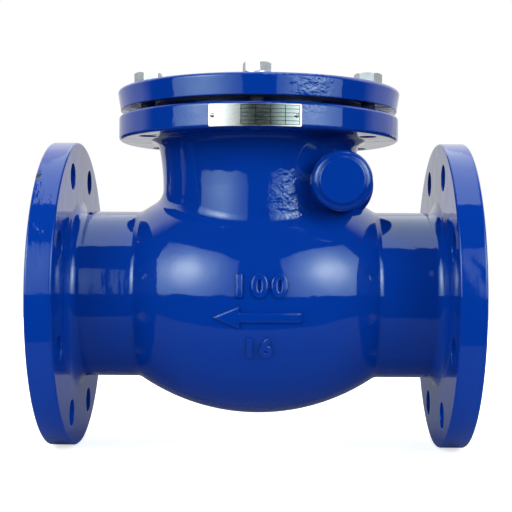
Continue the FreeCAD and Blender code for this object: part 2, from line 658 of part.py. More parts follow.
def make_gasket():
    body = new_body("cover_gasket")
    place(body)
    ring = new_sketch(body, "gasket_ring", "XY_Plane", lift="gasket_foot")
    draw_circle(ring, "joint_face_dia / 2")
    draw_circle(ring, "bonnet_bore_dia / 2")
    pad(ring, "gasket_thick")


def make_bolts():
    """One hexagon bolt, and a linked copy of it in each hole, its head turned as tightening left it."""
    body = new_body("cover_bolt")
    head = new_sketch(body, "bolt_head", "XY_Plane")
    draw_hexagon(head, "cover_bolt_flats")
    pad(head, "cover_bolt_head")
    crown_groove(body, "bolt_crown", "cover_bolt_head", "cover_bolt_flats")
    shank = new_sketch(body, "bolt_shank", "XZ_Plane")
    radius = "cover_bolt_dia / 2 - thread_gap"
    draw_outline(shank, [("0", "-cover_bolt_length"), (radius + " - pin_chamfer", "-cover_bolt_length"),
                         (radius, "-cover_bolt_length + pin_chamfer"), (radius, "cover_bolt_head / 2"),
                         ("0", "cover_bolt_head / 2")])
    turn_solid(shank, "V_Axis")
    bolts = doc.addObject("Part::Compound", "cover_bolts")
    bolts.Links = [bolt_copy(body, index) for index in range(int(number("cover_bolt_count")))]
    place(bolts)
    doc.recompute()


def bolt_copy(body, index):
    """The bolt in one hole of the cover, the first hole at the front."""
    link = doc.addObject("App::Link", "cover_bolt_%d" % (index + 1))
    link.LinkedObject = body
    turn = BOLT_TURNS[index % len(BOLT_TURNS)]
    link.Placement = FreeCAD.Placement(FreeCAD.Vector(), FreeCAD.Rotation(UP, turn))
    around = "((%d / cover_bolt_count * 360 - 90) * 1 deg)" % index
    link.setExpression("Placement.Base.x", sized("cover_bolt_circle / 2 * cos%s" % around))
    link.setExpression("Placement.Base.y", sized("cover_bolt_circle / 2 * sin%s" % around))
    link.setExpression("Placement.Base.z", sized("head_foot"))
    return link


def crown_groove(body, name, top, flats, role="XZ_Plane"):
    """Turn the corners off a hexagon's free end at 30 degrees, round the sketch's V axis."""
    cut = new_sketch(body, name, role)
    inner = "(%s * head_crown / 2)" % flats
    outer = "(%s / 2 / cos(30 deg) + pin_chamfer)" % flats
    drop = "(%s - %s) * tan(30 deg)" % (outer, inner)
    draw_outline(cut, [(inner, top), (outer, "%s - %s" % (top, drop)), (outer, top)])
    return turn_groove(cut, "V_Axis")


def make_washers():
    body = new_body("cover_washers")
    place(body)
    ring = new_sketch(body, "washer_ring", "XY_Plane", lift="cover_top")
    draw_circle(ring, "washer_bore + washer_width", "0", "-cover_bolt_circle / 2")
    draw_circle(ring, "washer_bore", "0", "-cover_bolt_circle / 2")
    whole = pad(ring, "washer_thick")
    slit = new_sketch(body, "washer_slit", "XY_Plane", y="-cover_bolt_circle / 2", lift="head_foot")
    draw_box(slit, "0", "-washer_split / 2", "washer_bore + 2 * washer_width", "washer_split / 2")
    repeat_round([whole, pocket(slit, "washer_thick")], "Z_Axis", "cover_bolt_count")


def make_nameplate():
    """A blank plate bent round the rim of the bonnet flange."""
    body = new_body("nameplate")
    place(body)
    strip = new_sketch(body, "plate_strip", "XY_Plane", lift="plate_foot",
                       turn="-90 - plate_turn - plate_angle / 2")
    inner = "bonnet_flange_dia / 2"
    outer = "(bonnet_flange_dia / 2 + plate_thick)"
    cosine = "cos(plate_angle * 1 deg)"
    sine = "sin(plate_angle * 1 deg)"
    draw_outline(strip, [(inner, "0"), (outer, "0"), (outer + " * " + cosine, outer + " * " + sine),
                         (inner + " * " + cosine, inner + " * " + sine)],
                 {1: (outer, 1), 3: (inner, -1)})
    pad(strip, "plate_height")
    fillet(body, "plate_corners", "plate_corner",
           lambda edge: isinstance(edge.Curve, Part.Line)
           and abs(edge.Length - number("plate_thick")) < NEAR)
    hole = rivet_sketch(body, "plate_hole")
    draw_box(hole, "bonnet_flange_dia / 2 - plate_thick", "0", "bonnet_flange_dia / 2 + 2 * plate_thick",
             "rivet_dia / 2")
    repeat_round([turn_groove(hole, "H_Axis")], "Z_Axis", "2", "rivet_angle")


def make_rivets():
    body = new_body("nameplate_rivets")
    place(body)
    rivet = rivet_sketch(body, "rivet")
    seat = "(bonnet_flange_dia / 2 + plate_thick)"
    shank = "rivet_dia / 2 - thread_gap"
    cap = "((rivet_head_dia ^ 2 / 4 + rivet_head ^ 2) / 2 / rivet_head)"
    draw_outline(rivet, [("bonnet_flange_dia / 2 - rivet_depth", "0"),
                         ("bonnet_flange_dia / 2 - rivet_depth", shank), (seat, shank),
                         (seat, "rivet_head_dia / 2"), (seat + " + rivet_head", "0")], {3: (cap, -1)})
    repeat_round([turn_solid(rivet, "H_Axis")], "Z_Axis", "2", "rivet_angle")


def make_seat_ring():
    body = new_body("body_seat_ring")
    place_on_seat(body)
    ring = new_sketch(body, "seat_ring", "XZ_Plane")
    front = "-(ring_proud + ring_nose)"
    draw_outline(ring, [("ring_depth", "bore_dia / 2"), ("ring_depth", "ring_dia / 2"),
                        ("-ring_proud + ring_nose", "ring_dia / 2"),
                        ("-ring_proud", "ring_dia / 2 - ring_nose"),
                        ("-ring_proud", "nose_outer + ring_nose / 2"), (front, "nose_outer"),
                        (front, "nose_inner"), ("-ring_proud", "nose_inner - ring_nose / 2"),
                        ("-ring_proud", "bore_dia / 2")])
    turn_solid(ring, "H_Axis")


def pin_body(label):
    """A body whose origin is the middle of the pin's axis."""
    body = new_body(label)
    place_on_pin(body)
    return body


def pin_ring(label, inner, outer, near, far):
    """A ring round the pin from near to far along it."""
    body = pin_body(label)
    ring = new_sketch(body, label + "_section", "XY_Plane")
    draw_box(ring, inner, near, outer, far)
    turn_solid(ring, "V_Axis")
    return body


def make_pin():
    body = pin_body("hinge_pin")
    outline = new_sketch(body, "pin_outline", "XY_Plane")
    inside = "pin_dia / 2 - pin_chamfer"
    draw_outline(outline, [("0", "-pin_reach"), (inside, "-pin_reach"),
                           ("pin_dia / 2", "-pin_reach + pin_chamfer"),
                           ("pin_dia / 2", "pin_reach - pin_chamfer"), (inside, "pin_reach"),
                           ("0", "pin_reach")])
    turn_solid(outline, "V_Axis")


def make_pin_rings():
    """Bushes in the casting's bosses and thrust rings beside the hub, front and rear alike."""
    bore = "pin_dia / 2 + fit_gap"
    hub = "hub_width / 2 + end_gap"
    pin_ring("pin_bush_front", bore, "bush_dia / 2", "-pin_reach", "-lug_gap / 2")
    pin_ring("pin_bush_rear", bore, "bush_dia / 2", "lug_gap / 2", "pin_reach")
    pin_ring("pin_spacer_front", bore, "hub_dia / 2", "-lug_gap / 2", "-(%s)" % hub)
    pin_ring("pin_spacer_rear", bore, "hub_dia / 2", hub, "lug_gap / 2")
    pin_ring("pin_plug_seal", "plug_dia / 2", "seal_dia / 2", "boss_reach", "boss_reach + seal_thick")


def make_plug():
    body = pin_body("pin_plug")
    seat = "boss_reach + seal_thick"
    head = new_sketch(body, "plug_hexagon", "XZ_Plane", lift="-(%s)" % seat)
    draw_hexagon(head, "plug_flats")
    pad(head, "plug_head", reverse=True)
    crown_groove(body, "plug_crown", seat + " + plug_head", "plug_flats", role="XY_Plane")
    stem = new_sketch(body, "plug_stem", "XY_Plane")
    radius = "plug_dia / 2 - thread_gap"
    draw_outline(stem, [("0", "pin_reach + end_gap"), (radius + " - pin_chamfer", "pin_reach + end_gap"),
                        (radius, "pin_reach + end_gap + pin_chamfer"), (radius, seat + " + plug_head / 2"),
                        ("0", seat + " + plug_head / 2")])
    turn_solid(stem, "V_Axis")


def make_arm():
    """One casting: hub on the pin, cranked arm behind the disc, eye round the stud, stop finger."""
    body = new_body("hinge_arm")
    place_on_seat(body)
    leg = new_sketch(body, "arm_leg", "XZ_Plane")
    knee = "(disc_dia / 2 - arm_knee_inset)"
    draw_outline(leg, [
        ("-hinge_setback", "hinge_rise"), ("-hinge_setback - arm_front", "hinge_rise - hub_dia / 2"),
        ("-eye_front", knee), ("-eye_front", "0"), ("-eye_back", "0"), ("-eye_back", "eye_dia"),
        ("-hinge_setback - arm_back", "hinge_rise + arm_top"), ("-hinge_setback", "hinge_rise + arm_top")],
        {5: ("arm_bend", -1)})
    pad(leg, "arm_width", middle=True)
    fillet(body, "arm_knee", "arm_knee_round",
           lambda edge: edge.BoundBox.ZLength < NEAR and edge.BoundBox.XLength < NEAR
           and abs(edge.BoundBox.ZMin - number(knee)) < NEAR)
    finger = new_sketch(body, "stop_finger", "XZ_Plane", x="-hinge_setback", y="hinge_rise",
                        turn="open_angle + seat_tilt")
    face = "sqrt(bonnet_bore_dia ^ 2 / 4 - stop_width ^ 2 / 4) - hinge_x - end_gap"
    draw_box(finger, face + " - stop_thick", "0", face, "stop_length")
    pad(finger, "stop_width", middle=True)
    hub = new_sketch(body, "arm_hub", "XZ_Plane", x="-hinge_setback", y="hinge_rise")
    draw_circle(hub, "hub_dia / 2")
    pad(hub, "hub_width", middle=True)
    eye = new_sketch(body, "arm_eye", "YZ_Plane", lift="-eye_back")
    draw_circle(eye, "eye_dia / 2")
    pad(eye, "eye_thick")
    bore = new_sketch(body, "hub_bore", "XZ_Plane", x="-hinge_setback", y="hinge_rise")
    draw_circle(bore, "pin_dia / 2 + fit_gap")
    pocket(bore, "2 * hub_width", middle=True)
    seat = new_sketch(body, "eye_bore", "YZ_Plane", lift="-eye_front")
    draw_circle(seat, "arm_bush_dia / 2")
    pocket(seat, "eye_thick")


def seat_turned(label, corners, arcs=None):
    """A piece turned about the disc's axis from corners given as x along it and radius."""
    body = new_body(label)
    place_on_seat(body)
    outline = new_sketch(body, label + "_section", "XZ_Plane")
    draw_outline(outline, corners, arcs)
    turn_solid(outline, "H_Axis")
    return body


def seat_ring_piece(label, front, back, inner, outer):
    return seat_turned(label, [("-(%s)" % back, inner), ("-(%s)" % front, inner),
                               ("-(%s)" % front, outer), ("-(%s)" % back, outer)])


def make_disc():
    """Disc with its stud in one casting; the facing lies in a groove of its front."""
    rim_front = "-(facing_front + facing_proud)"
    rim_back = "-(disc_back - disc_rim_back)"
    groove = "facing_dia / 2 + facing_gap"
    stud = "stud_dia / 2"
    body = seat_turned("disc", [
        ("-facing_back", "0"), ("-facing_back", groove), (rim_front, groove),
        (rim_front, "disc_dia / 2"), (rim_back, "disc_dia / 2"), ("-disc_back", "disc_dish_dia / 2"),
        ("-disc_back", "disc_shoulder_dia / 2"), ("-shoulder_back", "disc_shoulder_dia / 2"),
        ("-shoulder_back", stud), ("-stud_back + pin_chamfer", stud),
        ("-stud_back", stud + " - pin_chamfer"), ("-stud_back", "0")])
    hole = new_sketch(body, "screw_hole", "YZ_Plane", lift="-facing_back")
    draw_circle(hole, "screw_dia / 2", "0", "screw_circle / 2")
    repeat_round([pocket(hole, "screw_depth")], "X_Axis", "screw_count")
    cross = new_sketch(body, "split_pin_hole", "XY_Plane", x="-split_pin_depth")
    draw_circle(cross, "split_pin_dia / 2")
    pocket(cross, "2 * stud_dia", middle=True)


def make_facing():
    seat_ring_piece("disc_facing", "facing_front", "facing_back", "facing_bore / 2", "facing_dia / 2")


def make_retainer():
    """Plate that clamps the facing's inner edge; its boss fills the facing's hole."""
    boss = "facing_bore / 2 - facing_gap"
    body = seat_turned("facing_retainer", [
        ("-facing_back", "0"), ("-facing_back", boss), ("-facing_front", boss),
        ("-facing_front", "retainer_dia / 2"), ("plate_rise - retainer_edge", "retainer_dia / 2"),
        ("plate_rise", "retainer_dia / 2 - retainer_edge"), ("plate_rise", "0")])
    hole = new_sketch(body, "countersunk_hole", "XZ_Plane", y="screw_circle / 2")
    shank = "screw_dia / 2 + fit_gap"
    draw_outline(hole, [("-facing_back", "0"), ("-facing_back", shank), ("cone_foot", shank),
                        ("plate_rise", "screw_head_dia / 2 + fit_gap"), ("plate_rise", "0")])
    repeat_round([turn_groove(hole, "H_Axis")], "X_Axis", "screw_count")


def make_screws():
    """Countersunk screws with hexagon sockets."""
    body = new_body("retainer_screws")
    place_on_seat(body)
    screw = new_sketch(body, "screw", "XZ_Plane", y="screw_circle / 2")
    shank = "screw_dia / 2 - thread_gap"
    tip = "-(facing_back + screw_depth - end_gap)"
    draw_outline(screw, [(tip, "0"), (tip, shank), ("cone_foot", shank),
                         ("plate_rise", "screw_head_dia / 2 - thread_gap"), ("plate_rise", "0")])
    whole = turn_solid(screw, "H_Axis")
    socket = new_sketch(body, "screw_socket", "YZ_Plane", y="screw_circle / 2", lift="plate_rise")
    draw_hexagon(socket, "screw_socket_flats")
    repeat_round([whole, pocket(socket, "screw_socket_depth")], "X_Axis", "screw_count")


def make_stud_rings():
    """Bush in the arm's eye and washer behind it."""
    bore = "stud_dia / 2 + fit_gap"
    seat_ring_piece("arm_bush", "eye_front", "eye_back", bore, "arm_bush_dia / 2")
    seat_ring_piece("disc_washer", "washer_front", "nut_front", bore, "stud_washer_dia / 2")


def make_nut():
    """Castle nut: hexagon, and a round crown with slots for the split pin."""
    body = new_body("disc_nut")
    place_on_seat(body)
    hexagon = new_sketch(body, "nut_hexagon", "YZ_Plane", lift="-crown_front")
    draw_hexagon(hexagon, "nut_flats", on_side=True)
    pad(hexagon, "nut_height")
    crown = new_sketch(body, "nut_crown", "YZ_Plane", lift="-nut_back")
    draw_circle(crown, "crown_dia / 2")
    pad(crown, "nut_height / 2 + crown_height")
    bore = new_sketch(body, "nut_bore", "YZ_Plane", lift="-nut_back")
    draw_circle(bore, "stud_dia / 2 + thread_gap")
    pocket(bore, "nut_height + crown_height", reverse=True)
    slot = new_sketch(body, "nut_slot", "YZ_Plane", lift="-nut_back")
    draw_box(slot, "-crown_slot / 2", "0", "crown_slot / 2", "crown_dia")
    repeat_round([pocket(slot, "crown_height", reverse=True)], "X_Axis", "crown_slot_count")


def make_split_pin():
    """Split pin through the crown's slots, its eye above the crown and its legs spread below it."""
    radius = "split_pin_dia / 2 - thread_gap"
    wire = "split_pin_dia / 3"
    eye_level = "(crown_dia / 2 + split_pin_eye + %s + end_gap)" % wire
    fork_level = "(crown_dia / 2 + split_pin_dia)"
    shank = split_pin_rod("split_pin_shank", radius, "%s - split_pin_eye + %s" % (eye_level, fork_level),
                          "-" + fork_level, 0)
    eye = doc.addObject("Part::Torus", "split_pin_loop")
    eye.setExpression("Radius1", sized("split_pin_eye"))
    eye.setExpression("Radius2", sized(wire))
    set_split_pin_place(eye, eye_level, FreeCAD.Rotation(SLANT, 90))
    legs = [split_pin_rod("split_pin_leg_%s" % name, radius, "split_pin_leg", "-" + fork_level, angle)
            for name, angle in (("left", 180 - SPREAD), ("right", 180 + SPREAD))]
    whole = doc.addObject("Part::MultiFuse", "disc_split_pin")
    whole.Shapes = [shank, eye] + legs
    place_on_seat(whole)
    doc.recompute()


def split_pin_rod(name, radius, length, level, angle):
    """A straight piece of the split pin from level, leaning by angle from the upright."""
    rod = doc.addObject("Part::Cylinder", name)
    rod.setExpression("Radius", sized(radius))
    rod.setExpression("Height", sized(length))
    set_split_pin_place(rod, level, FreeCAD.Rotation(FreeCAD.Vector(1, 0, 0), angle))
    return rod


def set_split_pin_place(piece, level, turn):
    piece.Placement = FreeCAD.Placement(FreeCAD.Vector(), turn)
    piece.setExpression("Placement.Base.x", sized("-split_pin_depth"))
    piece.setExpression("Placement.Base.z", sized(level))


fill_sheet()
work_out_sizes()
make_casting()
make_cover()
make_gasket()
make_bolts()
make_washers()
make_nameplate()
make_rivets()
make_seat_ring()
make_pin()
make_pin_rings()
make_plug()
make_arm()
make_stud_rings()
make_disc()
make_facing()
make_retainer()
make_screws()
make_nut()
make_split_pin()

NODES = (
    "valve_body", "cover", "cover_gasket", "cover_bolts", "cover_washers", "nameplate", "nameplate_rivets",
    "body_seat_ring", "hinge_pin", "pin_bush_front", "pin_bush_rear", "pin_spacer_front",
    "pin_spacer_rear", "pin_plug", "pin_plug_seal", "hinge_arm", "arm_bush", "disc", "disc_facing",
    "facing_retainer", "retainer_screws", "disc_washer", "disc_nut", "disc_split_pin",
)


def check_document():
    doc.recompute()
    for item in doc.Objects:
        need(not {"Invalid", "Error"} & set(item.State), "%s: %s" % (item.Name, item.State))
    for label in NODES:
        shape = doc.getObjectsByLabel(label)[0].Shape
        need(not shape.isNull() and shape.isValid(), "%s has no valid shape" % label)


def write_parts():
    os.makedirs("parts", exist_ok=True)
    for label in NODES:
        doc.getObjectsByLabel(label)[0].Shape.exportStep("parts/%s.step" % label)


check_document()
write_parts()
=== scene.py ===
import json
import math

import bmesh
import bpy
from mathutils import Matrix, Vector
from mathutils.bvhtree import BVHTree


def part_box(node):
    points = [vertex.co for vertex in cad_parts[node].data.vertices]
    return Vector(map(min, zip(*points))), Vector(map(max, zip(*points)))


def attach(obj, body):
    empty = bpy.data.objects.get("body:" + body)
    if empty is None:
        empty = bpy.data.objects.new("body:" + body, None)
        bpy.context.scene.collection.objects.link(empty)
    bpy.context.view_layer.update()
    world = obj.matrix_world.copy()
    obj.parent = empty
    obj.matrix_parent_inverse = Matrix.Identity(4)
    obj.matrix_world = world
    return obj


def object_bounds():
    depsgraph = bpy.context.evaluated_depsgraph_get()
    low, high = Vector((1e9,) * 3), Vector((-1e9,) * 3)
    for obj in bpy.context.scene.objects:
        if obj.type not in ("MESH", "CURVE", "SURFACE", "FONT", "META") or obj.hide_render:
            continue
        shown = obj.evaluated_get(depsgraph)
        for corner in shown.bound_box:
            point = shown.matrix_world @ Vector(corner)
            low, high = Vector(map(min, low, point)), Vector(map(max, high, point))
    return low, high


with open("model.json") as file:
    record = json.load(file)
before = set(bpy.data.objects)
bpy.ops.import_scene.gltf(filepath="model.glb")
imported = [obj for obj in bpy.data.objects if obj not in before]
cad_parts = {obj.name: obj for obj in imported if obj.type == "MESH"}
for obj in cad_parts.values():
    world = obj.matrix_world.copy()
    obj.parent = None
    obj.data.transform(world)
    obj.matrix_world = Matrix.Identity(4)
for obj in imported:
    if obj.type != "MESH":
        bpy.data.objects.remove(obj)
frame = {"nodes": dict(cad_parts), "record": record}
CAD_LOW, CAD_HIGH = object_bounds()
NODES = frame["nodes"]
JOINTS = {joint["name"]: joint for joint in frame["record"]["behaviour"]["joints"]}
UP = Vector((0, 0, 1))
scene = bpy.context.scene

# The camera, as fitted to the outlines of the flanges in the photograph.
CAMERA_PLACE = Vector((-0.1376, -0.8153, 0.0288))
CAMERA_LENS = 78.15
CAMERA_YAW = math.radians(0.97)
CAMERA_PITCH = math.radians(-0.06)
CAMERA_ROLL = math.radians(0.32)

# The studio, as its reflections in the photograph place it. Angles are degrees from the camera's
# side, levels are metres over the valve's middle.
VALVE_MIDDLE = Vector(((CAD_LOW[0] + CAD_HIGH[0]) / 2, 0, 0))
SOFTBOX_FACING = 60
SOFTBOX_EDGES = {"left": (11, 68.5), "right": (14, 68.5)}
SOFTBOX_LEVELS = (0.02, 1.46)
SOFTBOX_DISTANCE = 1.5
SOFTBOX_LAMP = 42
SOFTBOX_LAMP_HEIGHT = 0.67
SOFTBOX_CORE = 10.6
SOFTBOX_SPREAD = 0.4
SOFTBOX_NEAR_LAMP = (1, 1, 1, 1)
SOFTBOX_AT_EDGE = (0.76, 0.95, 1, 1)
SOFTBOX_TINT_FROM = 0.02
SOFTBOX_TINT_TO = 0.28
OVERHEAD_LEVEL = 1.2
OVERHEAD_REACH = ((-0.4, 0.4), (-0.48, 1.6))
OVERHEAD_STRENGTH = 2.4
OVERHEAD_TINT = (0.94, 1, 0.98, 1)

# The world that reflections find. Edges are the Y or Z of a direction.
WALL_STRENGTH = 0.8
WALL_EDGES = (0.05, 0.3)
WALL_TOP_EDGES = (0.15, 0.6)
WALL_TOP_GAIN = 2.0
ROOM_STRENGTH = 0.01

# The table, and how far from the valve's middle its shadow is lifted to white.
TABLE_FRONT = -0.225
TABLE_BACK = 1.6
TABLE_HALF_WIDTH = 1.5
TABLE_GAP = 0.0001
TABLE_TONE = (0.8, 0.8, 0.8, 1)
TABLE_REFLECTED = (0.2, 0.2, 0.2, 1)
SHADOW_NEAR = 0.15
SHADOW_FAR = 0.6
SHADOW_LIFT = 0.66

# The enamel, its worst wrinkles and the chip out of the outlet flange's rim.
ENAMEL_DEEP = (0.0008, 0.0305, 0.262, 1)
ENAMEL_THIN = (0.0008, 0.034, 0.292, 1)
ENAMEL_SHEEN = (0.82, 1, 1, 1)
ENAMEL_IOR = 1.5
EDGE_RADIUS = 0.0012
COVER_CROWN = 0.1
CHIP_PLACE = Vector((-0.297, -0.0745, 0.0807))
CHIP_SIZE = 0.0034
CHIP_FLOOR = 0.6 * CHIP_SIZE
CHIP_DEPTH = 0.0008
CHIP_COLOR = (0.002, 0.006, 0.03, 1)
WRINKLED_SPOTS = {
    "cover rim, right": ((-0.11, -0.1035, 0.138), 0.024),
    "cover rim, left": ((-0.163, -0.11, 0.136), 0.011),
    "bonnet, right": ((-0.1234, -0.064, 0.067), 0.024),
    "outlet rim": ((-0.29, -0.1, 0.046), 0.008),
}
WRINKLED_CORE = 0.5

# How a surface is patched by noise: patches to a metre, how finely they are broken up, the noise's
# low and high end, and what these two stand for.
ENAMEL_GLOSS = (40.0, 1.0, 0.3, 0.7, 0.03, 0.06)
ENAMEL_RUN = (15.0, 1.0, 0.5, 0.68, 0.0, 0.8)
ENAMEL_PEELED = (22.0, 1.0, 0.52, 0.72, 0.05, 0.4)
METAL_CLOUDS = (70.0, 3.0, 0.35, 0.65, 0.0, 1.0)
METAL_GLOSS = (260.0, 2.0, 0.3, 0.7)
IRON_CLOUDS = (60.0, 3.0, 0.35, 0.65, 0.0, 1.0)
IRON_RUSTED = (180.0, 3.0, 0.62, 0.72, 0.0, 0.8)

# Plain noise: patches to a metre, and how finely they are broken up.
ENAMEL_CLOUDS = (14.0, 2.0)
PLATE_STREAKS = (3500.0, 2.0)
SOFT_CLOUDS = (120.0, 3.0)
NOISE_ENDS = (0.3, 0.7)

# How uneven a surface is: bumps to a metre, how finely they are broken up, and their depth.
ENAMEL_WAVES = (55.0, 1.0, 0.00025)
ENAMEL_DRIPS = (110.0, 2.0, 0.0004)
ENAMEL_PEEL = (330.0, 2.0, 0.0002)
ENAMEL_WRINKLES = (260.0, 2.0, 0.0007)
ZINC_GRAIN = (900.0, 1.0, 0.00003)
TURNED_GRAIN = (300.0, 1.0, 0.00001)
IRON_LUMPS = (260.0, 3.0, 0.0003)
IRON_GRAIN = (1400.0, 1.0, 0.00005)
GRAPHITE_GRAIN = (1100.0, 2.0, 0.00008)
RUBBER_GRAIN = (1100.0, 2.0, 0.00003)

# How places are squeezed along X, Y and Z, to draw noise out into drips and brushed streaks.
DRIP_STRETCH = (1.0, 1.0, 0.3)
STREAK_STRETCH = (0.04, 0.04, 1.0)

# What is added to the enamel's roughness in the chip, on the cover's top and on the raised faces.
# The raised faces are metallic, and a thin skin of the casting counts as such a face.
CHIP_DULLING = 0.4
TOP_DULLING = 0.8
FACE_DULLING = 0.3
FACE_METAL = 0.9
FACE_SKIN = 0.0003

# The other materials: colours go from dark to light. A metal's roughness follows, with how far it
# spreads either way.
ZINC = ((0.5, 0.5, 0.5, 1), (0.62, 0.62, 0.63, 1), 0.46, 0.06)
BRONZE = ((0.5, 0.33, 0.14, 1), (0.66, 0.46, 0.22, 1), 0.28, 0.05)
STEEL = ((0.5, 0.5, 0.49, 1), (0.64, 0.64, 0.64, 1), 0.26, 0.05)
COPPER = ((0.62, 0.26, 0.14, 1), (0.8, 0.4, 0.24, 1), 0.3, 0.05)
GRAPHITE = ((0.012, 0.012, 0.013, 1), (0.05, 0.05, 0.052, 1))
RUBBER = ((0.01, 0.01, 0.01, 1), (0.026, 0.025, 0.024, 1))
CAST_IRON = ((0.045, 0.043, 0.042, 1), (0.12, 0.115, 0.11, 1))
IRON_RUST = (0.13, 0.05, 0.022, 1)
IRON_BARE = (0.4, 0.37, 0.37, 1)
# Painted shade: the colour of the bolts' threads below the cover's top, where they sit in the
# cover's holes and the gap under it.
THREAD_PAINTED_SHADE = (0.2, 0.19, 0.18, 1)
IRON_ROUGHNESS = (0.62, 0.42)
SOFT_ROUGHNESS = (0.42, 0.68)

# The bolts' threads and the grooves left by the lathe: their pitch and depth.
THREAD = (0.00175, 0.0007)
FACE_GROOVES = (0.0008, 0.00008)
TURNED_GROOVES = (0.0006, 0.000006)
TURNED_WOBBLE = 0.4

# The nameplate: its steel, its printed field and the field's lines. The field is given in shares
# of the plate's length and height, and a line's half width in shares of a column or row.
PLATE_BARE = ((0.37, 0.335, 0.315, 1), (0.5, 0.455, 0.43, 1))
PLATE_FIELD = (0.24, 0.27, 0.255, 1)
PLATE_LINE = (0.04, 0.045, 0.045, 1)
PLATE_ROUGHNESS = (0.2, 0.32)
PLATE_BRUSHING = 0.000015
FIELD_START = 0.352
FIELD_END = 0.978
FIELD_FOOT = 0.07
FIELD_TOP = 0.94
FIELD_COLUMNS = 4
FIELD_ROWS = 5
FIELD_UPRIGHT = 0.03
FIELD_LEVEL = 0.08

# The cast marks on the bowl's front: their middles, along the valve and above its axis, and sizes.
MARK_RISE = 0.0003
MARK_HALF_THICKNESS = 0.0007
MARK_ROUNDING = 0.0009
MARK_BOLDNESS = 0.0004
MARK_STEP = 0.003
MARK_CREASE = math.radians(40)
MARK_APPROACH = 0.1
DIGIT_HEIGHT_SHARE = 0.73
DIGIT_SPACING = 1.35
SIZE_PLACE = Vector((-0.1475, 0, 0.0075))
SIZE_HEIGHT = 0.0145
ARROW_PLACE = Vector((-0.1485, 0, -0.0125))
ARROW_LENGTH = 0.056
ARROW_WIDTH = 0.0125
ARROW_SHAFT = 0.0045
ARROW_HEAD = 0.015
RATING_PLACE = Vector((-0.1487, 0, -0.0335))
RATING_HEIGHT = 0.0117


class Graph:
    """The shader nodes of a material or world, with short ways to add and join them."""

    def __init__(self, owner):
        owner.use_nodes = True
        self.tree = owner.node_tree
        self.texture_places = self.tree.nodes.new("ShaderNodeTexCoord").outputs
        self.place = self.texture_places["Object"]

    def feed(self, socket, value):
        """Give a socket a value, or link another node's output to it."""
        if isinstance(value, bpy.types.NodeSocket):
            self.tree.links.new(value, socket)
        else:
            socket.default_value = value

    def node(self, kind, **inputs):
        node = self.tree.nodes.new("ShaderNode" + kind)
        for name, value in inputs.items():
            self.feed(node.inputs[name.replace("_", " ")], value)
        return node

    def math(self, operation, *values):
        node = self.tree.nodes.new("ShaderNodeMath")
        node.operation = operation
        for socket, value in zip(node.inputs, values):
            self.feed(socket, value)
        return node.outputs["Value"]

    def vector(self, operation, first, second):
        node = self.tree.nodes.new("ShaderNodeVectorMath")
        node.operation = operation
        self.feed(node.inputs[0], first)
        self.feed(node.inputs[1], second)
        measured = operation in ("DISTANCE", "DOT_PRODUCT")
        return node.outputs["Value" if measured else "Vector"]

    def axes(self, place):
        """The X, Y and Z of a place."""
        split = self.node("SeparateXYZ", Vector=place)
        return [split.outputs[axis] for axis in "XYZ"]

    def noise(self, place, scale, detail):
        return self.node("TexNoise", Vector=place, Scale=scale, Detail=detail).outputs["Fac"]

    def wave(self, place, kind, axis, pitch, distortion=0.0):
        """Grooves a pitch apart: BANDS across the axis, or RINGS round it."""
        scale = math.pi / 10 / pitch
        node = self.node("TexWave", Vector=place, Scale=scale, Distortion=distortion)
        node.wave_type = kind
        node.bands_direction = axis
        node.rings_direction = axis
        return node.outputs["Fac"]

    def span(self, value, low, high, start, end, clamp=True):
        """The figure from start to end that value, going from low to high, stands for."""
        inputs = {"From_Min": low, "From_Max": high, "To_Min": start, "To_Max": end}
        node = self.node("MapRange", Value=value, **inputs)
        node.clamp = clamp
        return node.outputs["Result"]

    def patches(self, pattern):
        """A figure that changes from patch to patch, as a pattern says."""
        scale, detail, low, high, start, end = pattern
        return self.span(self.noise(self.place, scale, detail), low, high, start, end)

    def blend(self, share, first, second):
        """The colour a share of the way from the first to the second."""
        node = self.tree.nodes.new("ShaderNodeMix")
        node.data_type = "RGBA"
        for index, value in ((0, share), (6, first), (7, second)):
            self.feed(node.inputs[index], value)
        return node.outputs[2]

    def bump(self, height, distance, strength=1.0, under=None):
        """A surface raised by height, over the one that is under it."""
        node = self.node("Bump", Height=height, Distance=distance, Strength=strength)
        if under is not None:
            self.feed(node.inputs["Normal"], under)
        return node.outputs["Normal"]

    def uneven(self, place, grain, strength=1.0, under=None):
        """A surface as uneven as a grain says."""
        scale, detail, depth = grain
        return self.bump(self.noise(place, scale, detail), depth, strength, under)


def make_camera():
    camera = bpy.data.objects.new("camera", bpy.data.cameras.new("camera"))
    camera.data.sensor_width = 36
    camera.data.lens = CAMERA_LENS
    turn = (Matrix.Rotation(CAMERA_YAW, 4, "Z")
            @ Matrix.Rotation(math.pi / 2 + CAMERA_PITCH, 4, "X")
            @ Matrix.Rotation(CAMERA_ROLL, 4, "Z"))
    camera.matrix_world = Matrix.Translation(CAMERA_PLACE) @ turn
    scene.collection.objects.link(camera)
    scene.camera = camera


def add_sheet(name, origin, corners, material):
    """A flat four-cornered sheet of the studio; its corners are given from its origin."""
    mesh = bpy.data.meshes.new(name)
    mesh.from_pydata(corners, [], [(0, 1, 2, 3)])
    mesh.materials.append(material)
    sheet = bpy.data.objects.new(name, mesh)
    sheet.location = origin
    scene.collection.objects.link(sheet)
    return sheet


def add_panel(name, origin, across, up, reach, material):
    """A flat lit panel through origin; reach is its low and high end along across and up."""
    (left, right), (low, high) = reach
    ends = ((left, low), (right, low), (right, high), (left, high))
    corners = [across * u + up * v for u, v in ends]
    add_sheet(name, origin, corners, material).visible_camera = False


def lit_material(name, glow_of):
    """A glowing cloth; glow_of works out its colour and strength in the material's graph."""
    material = bpy.data.materials.new(name)
    graph = Graph(material)
    graph.tree.nodes.remove(graph.tree.nodes["Principled BSDF"])
    color, strength = glow_of(graph)
    glow = graph.node("Emission", Color=color, Strength=strength)
    output = graph.tree.nodes["Material Output"]
    graph.feed(output.inputs["Surface"], glow.outputs["Emission"])
    return material


